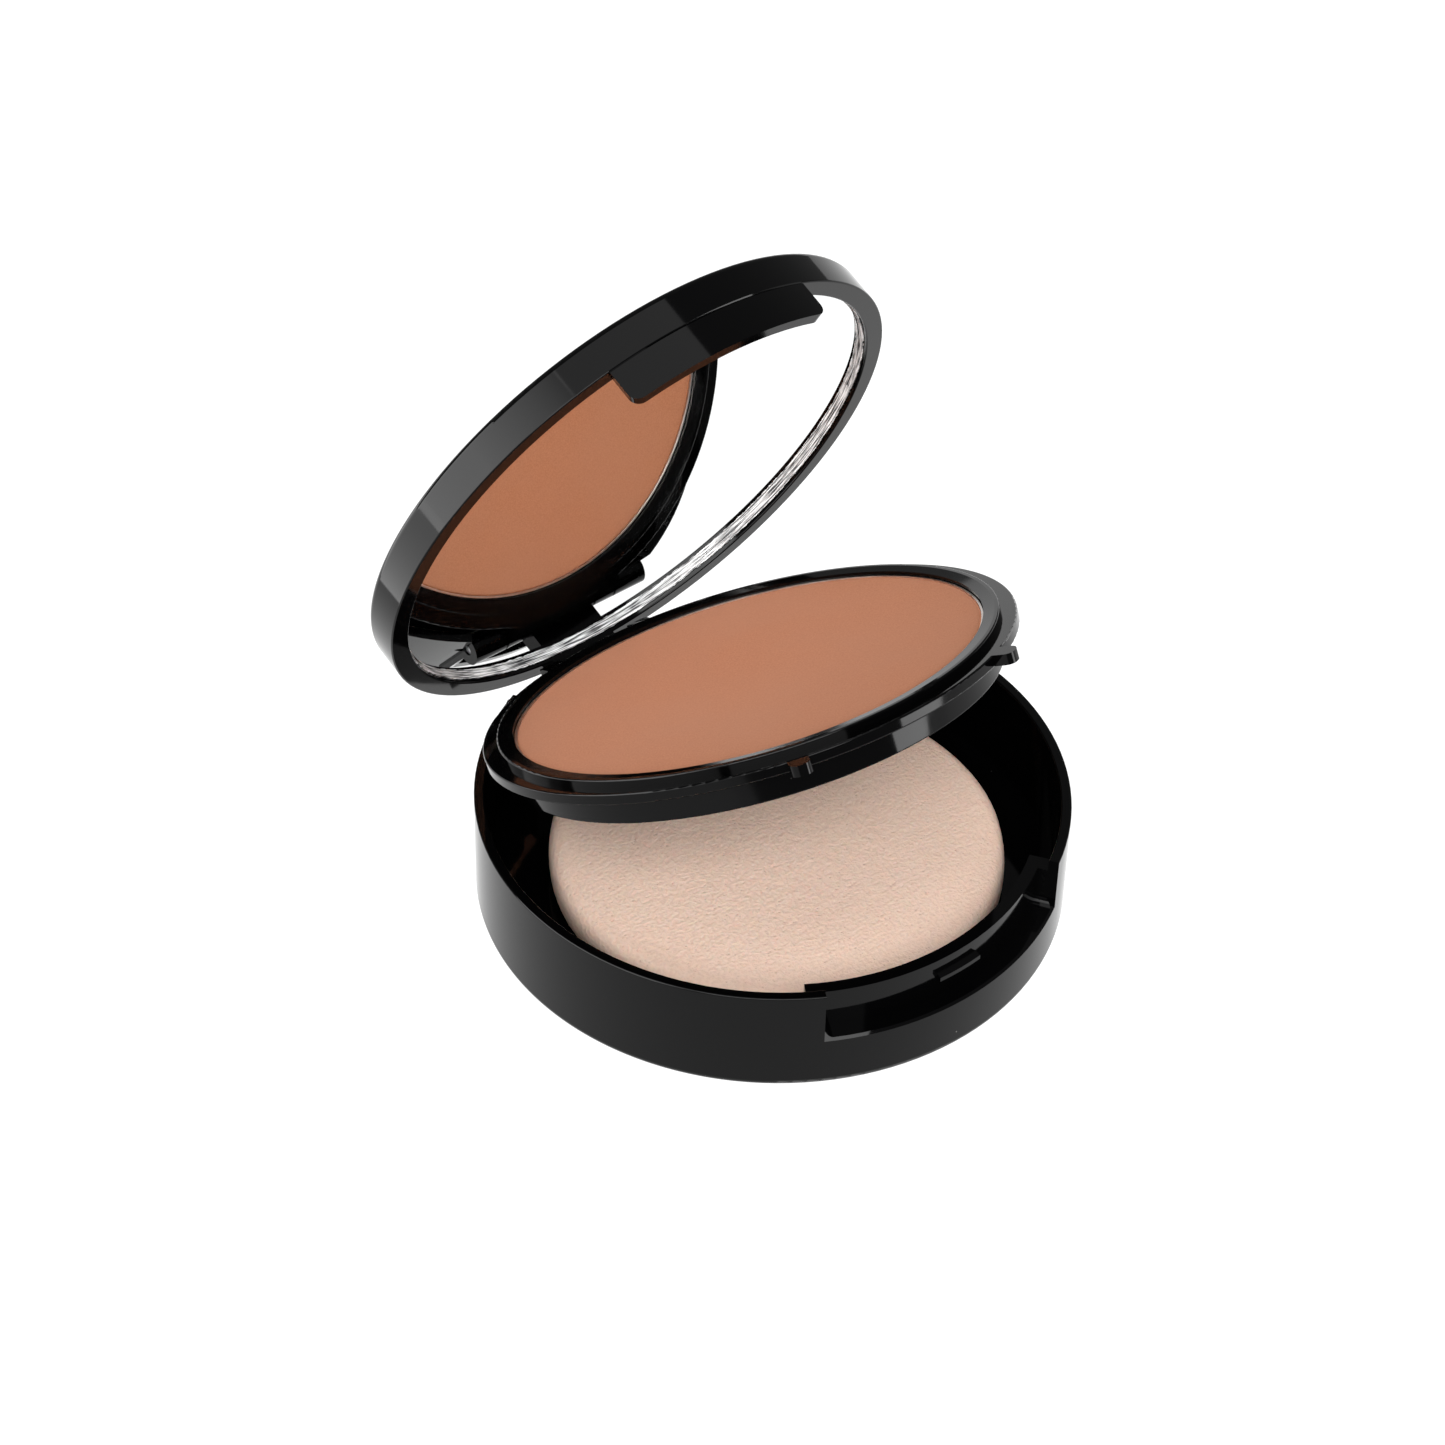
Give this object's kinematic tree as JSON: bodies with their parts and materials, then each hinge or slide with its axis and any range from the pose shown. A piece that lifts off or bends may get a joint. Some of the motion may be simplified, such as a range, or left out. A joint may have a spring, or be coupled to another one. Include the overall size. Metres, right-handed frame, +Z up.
{
  "type": "powder compact",
  "caption": "Round hinged powder compact: base tub with sponge, swing-up tray with pressed powder, and mirror lid.",
  "frame": {"origin": "centre of the base's flat underside", "axes": "+Z up through the base, -Y towards the thumb recess at the front, the hinge pin lies along X at the back"},
  "size_m": [0.074, 0.0807, 0.0807],
  "materials": {
    "gloss_black": "high gloss",
    "gloss_black_tray": "high gloss",
    "gloss_black_lid": "high gloss",
    "pin_steel": "drawn wire",
    "sponge_foam": "fine open foam",
    "tinplate": "satin",
    "pressed_powder": "matte pressed powder",
    "mirror": "polished",
    "tape": "matte film",
    "glue": "dull"
  },
  "bodies": {
    "base": {"base_tub": "gloss_black", "hinge_pin": "pin_steel", "sponge_puff": "sponge_foam"},
    "tray": {"tray_frame": "gloss_black_tray", "pan_glue_dots": "glue", "powder_pan": "tinplate", "powder_cake": "pressed_powder"},
    "lid": {"lid_shell": "gloss_black_lid", "mirror_glass": "mirror", "mirror_tape": "tape"}
  },
  "joints": [
    {"name": "tray_hinge", "type": "hinge", "parent": "base", "child": "tray", "pos_m": [0, 0.0344, 0.0108], "axis": [-1, 0, 0], "range_deg": [-26.58, 13.42]},
    {"name": "lid_hinge", "type": "hinge", "parent": "tray", "child": "lid", "pos_m": [0, 0.0344, 0.0108], "axis": [-1, 0, 0], "range_deg": [-43.16, 56.84]}
  ]
}
